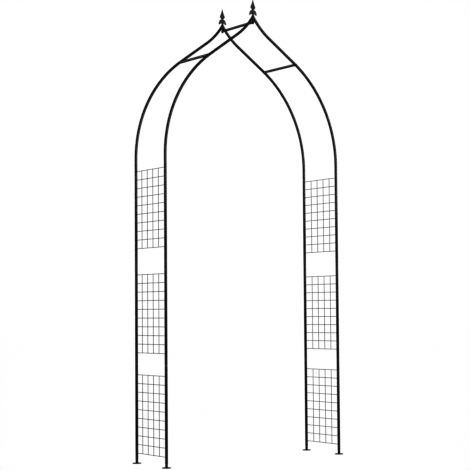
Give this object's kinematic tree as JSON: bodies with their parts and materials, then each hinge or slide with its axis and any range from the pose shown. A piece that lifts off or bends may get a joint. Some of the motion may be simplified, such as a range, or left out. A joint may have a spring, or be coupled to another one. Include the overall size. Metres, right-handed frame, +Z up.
{
  "type": "trellis arch",
  "caption": "Walk-through black steel garden arch with a pointed ogee top, welded wire mesh sides for climbing plants, tie bars and spear finials.",
  "frame": {"origin": "on the ground, centred between the four feet", "axes": "+X across the path to the right seen from the front, +Y from the front arch to the back arch, +Z up"},
  "size_m": [1.292, 0.372, 2.7209],
  "materials": {
    "powder_coat": "semi-gloss black powder coat with a fine orange peel",
    "mesh_coat": "satin black powder coat",
    "cast_coat": "black powder coat over rough cast iron",
    "screw_black": "black zinc, slightly shiny"
  },
  "bodies": {
    "root": {"foot_left_front": "powder_coat", "foot_left_back": "powder_coat", "foot_right_front": "powder_coat", "foot_right_back": "powder_coat", "post_low_left_front": "powder_coat", "post_low_left_back": "powder_coat", "post_low_right_front": "powder_coat", "post_low_right_back": "powder_coat", "post_mid_left_front": "powder_coat", "post_mid_left_back": "powder_coat", "post_mid_right_front": "powder_coat", "post_mid_right_back": "powder_coat", "post_top_left_front": "powder_coat", "post_top_left_back": "powder_coat", "post_top_right_front": "powder_coat", "post_top_right_back": "powder_coat", "mesh_low_left": "mesh_coat", "mesh_low_right": "mesh_coat", "mesh_mid_left": "mesh_coat", "mesh_mid_right": "mesh_coat", "mesh_top_left": "mesh_coat", "mesh_top_right": "mesh_coat", "shoulder_left_front": "powder_coat", "shoulder_left_back": "powder_coat", "shoulder_right_front": "powder_coat", "shoulder_right_back": "powder_coat", "crown_left_front": "powder_coat", "crown_left_back": "powder_coat", "crown_right_front": "powder_coat", "crown_right_back": "powder_coat", "peak_post_front": "powder_coat", "peak_post_back": "powder_coat", "finial_front": "cast_coat", "finial_back": "cast_coat", "bar_left": "powder_coat", "bar_right": "powder_coat", "bar_ridge": "powder_coat", "bar_screws": "screw_black", "ridge_screws": "screw_black"}
  },
  "joints": []
}
